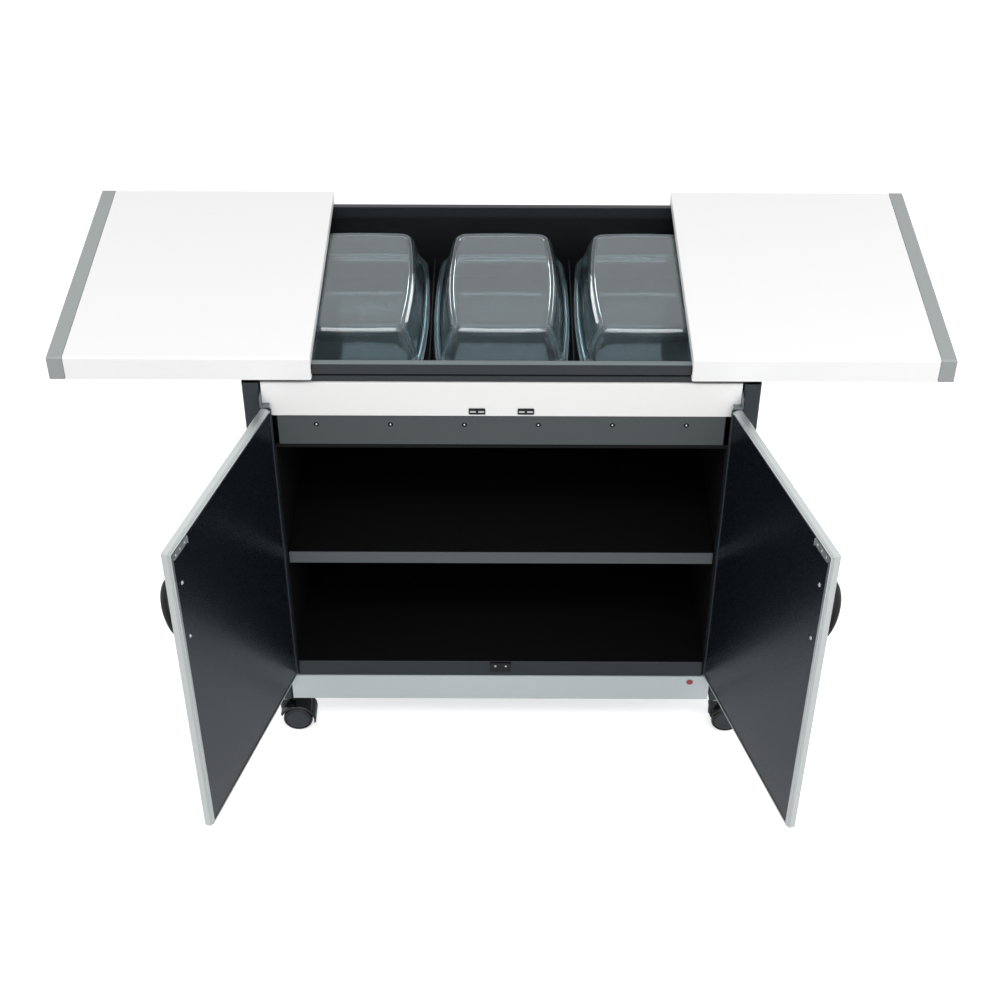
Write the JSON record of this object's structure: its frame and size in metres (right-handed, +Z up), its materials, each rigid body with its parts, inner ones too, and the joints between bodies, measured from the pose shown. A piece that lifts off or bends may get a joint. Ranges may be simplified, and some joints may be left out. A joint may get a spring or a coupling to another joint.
{
  "type": "hostess trolley",
  "caption": "Free-standing warming trolley: sliding tops over lidded glass dishes in a heated well, a cupboard with a shelf and hinged doors below, square posts on swivel castors.",
  "frame": {"origin": "on the floor, in the middle of the outline with tops and doors open", "axes": "+X to the right seen from the front, +Y from front to back, +Z up"},
  "size_m": [1.311, 0.802, 0.7827],
  "materials": {
    "slate_paint": "satin powder coat",
    "white_paint": "satin paint",
    "white_laminate": "white laminate on board",
    "grey_paint": "satin paint",
    "sill_paint": "satin paint",
    "black_enamel": "satin enamel",
    "door_board": "dark laminate on board",
    "aluminium": "satin anodised",
    "grey_trim": "satin grey moulding",
    "steel": "zinc plated",
    "black_plastic": "satin black",
    "tread": "matt black",
    "glass": "clear, faint blue-green",
    "red_lens": "translucent red"
  },
  "bodies": {
    "cabinet": {"post_front_left": "slate_paint", "post_front_right": "slate_paint", "post_rear_left": "slate_paint", "post_rear_right": "slate_paint", "front_slide_rail": "slate_paint", "rear_slide_rail": "slate_paint", "front_fascia": "white_paint", "side_panel_left": "white_paint", "side_panel_right": "white_paint", "back_panel": "white_paint", "front_base_rail": "aluminium", "base_tray": "aluminium", "cupboard_inner_rail": "grey_paint", "cupboard_shelf": "grey_paint", "cupboard_sill": "sill_paint", "cupboard_liner": "black_enamel", "warming_tub": "black_enamel", "dish_divider_left": "black_enamel", "dish_divider_right": "black_enamel", "heating_element": "steel", "door_pivot_upper_left": "steel", "door_pivot_upper_right": "steel", "door_pivot_lower_left": "steel", "door_pivot_lower_right": "steel", "thermostat": "black_plastic", "mains_inlet": "black_plastic", "upper_catch_left": "black_plastic", "upper_catch_right": "black_plastic", "lower_catch": "black_plastic", "casserole_dish_left": "glass", "casserole_dish_right": "glass", "casserole_lid_left": "glass", "casserole_lid_right": "glass", "indicator_lens": "red_lens"},
    "top_left": {"sliding_top_left": "white_laminate", "top_end_trim_left": "grey_trim"},
    "door_left": {"door_panel_left": "door_board", "door_edging_left": "aluminium", "door_handle_left": "black_plastic", "strike_plate_left": "steel"},
    "top_right": {"sliding_top_right": "white_laminate", "top_end_trim_right": "grey_trim"},
    "door_right": {"door_panel_right": "door_board", "door_edging_right": "aluminium", "door_handle_right": "black_plastic", "strike_plate_right": "steel"},
    "middle_dish": {"casserole_dish_middle": "glass"},
    "middle_lid": {"casserole_lid_middle": "glass"},
    "castor_front_left": {"castor_hood_front_left": "black_plastic"},
    "wheel_front_left_outer": {"castor_wheel_front_left_outer": "tread"},
    "wheel_front_left_inner": {"castor_wheel_front_left_inner": "tread"},
    "castor_front_right": {"castor_hood_front_right": "black_plastic"},
    "wheel_front_right_outer": {"castor_wheel_front_right_outer": "tread"},
    "wheel_front_right_inner": {"castor_wheel_front_right_inner": "tread"},
    "castor_rear_left": {"castor_hood_rear_left": "black_plastic"},
    "wheel_rear_left_outer": {"castor_wheel_rear_left_outer": "tread"},
    "wheel_rear_left_inner": {"castor_wheel_rear_left_inner": "tread"},
    "castor_rear_right": {"castor_hood_rear_right": "black_plastic"},
    "wheel_rear_right_outer": {"castor_wheel_rear_right_outer": "tread"},
    "wheel_rear_right_inner": {"castor_wheel_rear_right_inner": "tread"}
  },
  "joints": [
    {"name": "top_left_slide", "type": "slide", "parent": "cabinet", "child": "top_left", "axis": [-1, 0, 0], "range_m": [-0.2755, 0]},
    {"name": "top_right_slide", "type": "slide", "parent": "cabinet", "child": "top_right", "axis": [1, 0, 0], "range_m": [-0.2755, 0]},
    {"name": "door_left_hinge", "type": "hinge", "parent": "cabinet", "child": "door_left", "pos_m": [-0.3443, -0.07256, 0.416], "axis": [0, 0, -1], "range_deg": [-107.2, 0]},
    {"name": "door_right_hinge", "type": "hinge", "parent": "cabinet", "child": "door_right", "pos_m": [0.3443, -0.07256, 0.416], "axis": [0, 0, 1], "range_deg": [-107.2, 0]},
    {"name": "middle_dish_lift", "type": "slide", "parent": "cabinet", "child": "middle_dish", "axis": [0, 0, 1], "range_m": [0, 0.3]},
    {"name": "middle_lid_lift", "type": "slide", "parent": "middle_dish", "child": "middle_lid", "axis": [0, 0, 1], "range_m": [0, 0.15]},
    {"name": "castor_front_left_swivel", "type": "hinge", "parent": "cabinet", "child": "castor_front_left", "pos_m": [-0.3675, -0.05246, 0.07], "axis": [0, 0, 1], "continuous": true},
    {"name": "wheel_front_left_outer_roll", "type": "hinge", "parent": "castor_front_left", "child": "wheel_front_left_outer", "pos_m": [-0.3475, -0.05246, 0.025], "axis": [0, 1, 0], "continuous": true},
    {"name": "wheel_front_left_inner_roll", "type": "hinge", "parent": "castor_front_left", "child": "wheel_front_left_inner", "pos_m": [-0.3475, -0.05246, 0.025], "axis": [0, 1, 0], "continuous": true},
    {"name": "castor_front_right_swivel", "type": "hinge", "parent": "cabinet", "child": "castor_front_right", "pos_m": [0.3675, -0.05246, 0.07], "axis": [0, 0, 1], "continuous": true},
    {"name": "wheel_front_right_outer_roll", "type": "hinge", "parent": "castor_front_right", "child": "wheel_front_right_outer", "pos_m": [0.3875, -0.05246, 0.025], "axis": [0, 1, 0], "continuous": true},
    {"name": "wheel_front_right_inner_roll", "type": "hinge", "parent": "castor_front_right", "child": "wheel_front_right_inner", "pos_m": [0.3875, -0.05246, 0.025], "axis": [0, 1, 0], "continuous": true},
    {"name": "castor_rear_left_swivel", "type": "hinge", "parent": "cabinet", "child": "castor_rear_left", "pos_m": [-0.3675, 0.38054, 0.07], "axis": [0, 0, 1], "continuous": true},
    {"name": "wheel_rear_left_outer_roll", "type": "hinge", "parent": "castor_rear_left", "child": "wheel_rear_left_outer", "pos_m": [-0.3475, 0.38054, 0.025], "axis": [0, 1, 0], "continuous": true},
    {"name": "wheel_rear_left_inner_roll", "type": "hinge", "parent": "castor_rear_left", "child": "wheel_rear_left_inner", "pos_m": [-0.3475, 0.38054, 0.025], "axis": [0, 1, 0], "continuous": true},
    {"name": "castor_rear_right_swivel", "type": "hinge", "parent": "cabinet", "child": "castor_rear_right", "pos_m": [0.3675, 0.38054, 0.07], "axis": [0, 0, 1], "continuous": true},
    {"name": "wheel_rear_right_outer_roll", "type": "hinge", "parent": "castor_rear_right", "child": "wheel_rear_right_outer", "pos_m": [0.3875, 0.38054, 0.025], "axis": [0, 1, 0], "continuous": true},
    {"name": "wheel_rear_right_inner_roll", "type": "hinge", "parent": "castor_rear_right", "child": "wheel_rear_right_inner", "pos_m": [0.3875, 0.38054, 0.025], "axis": [0, 1, 0], "continuous": true}
  ]
}
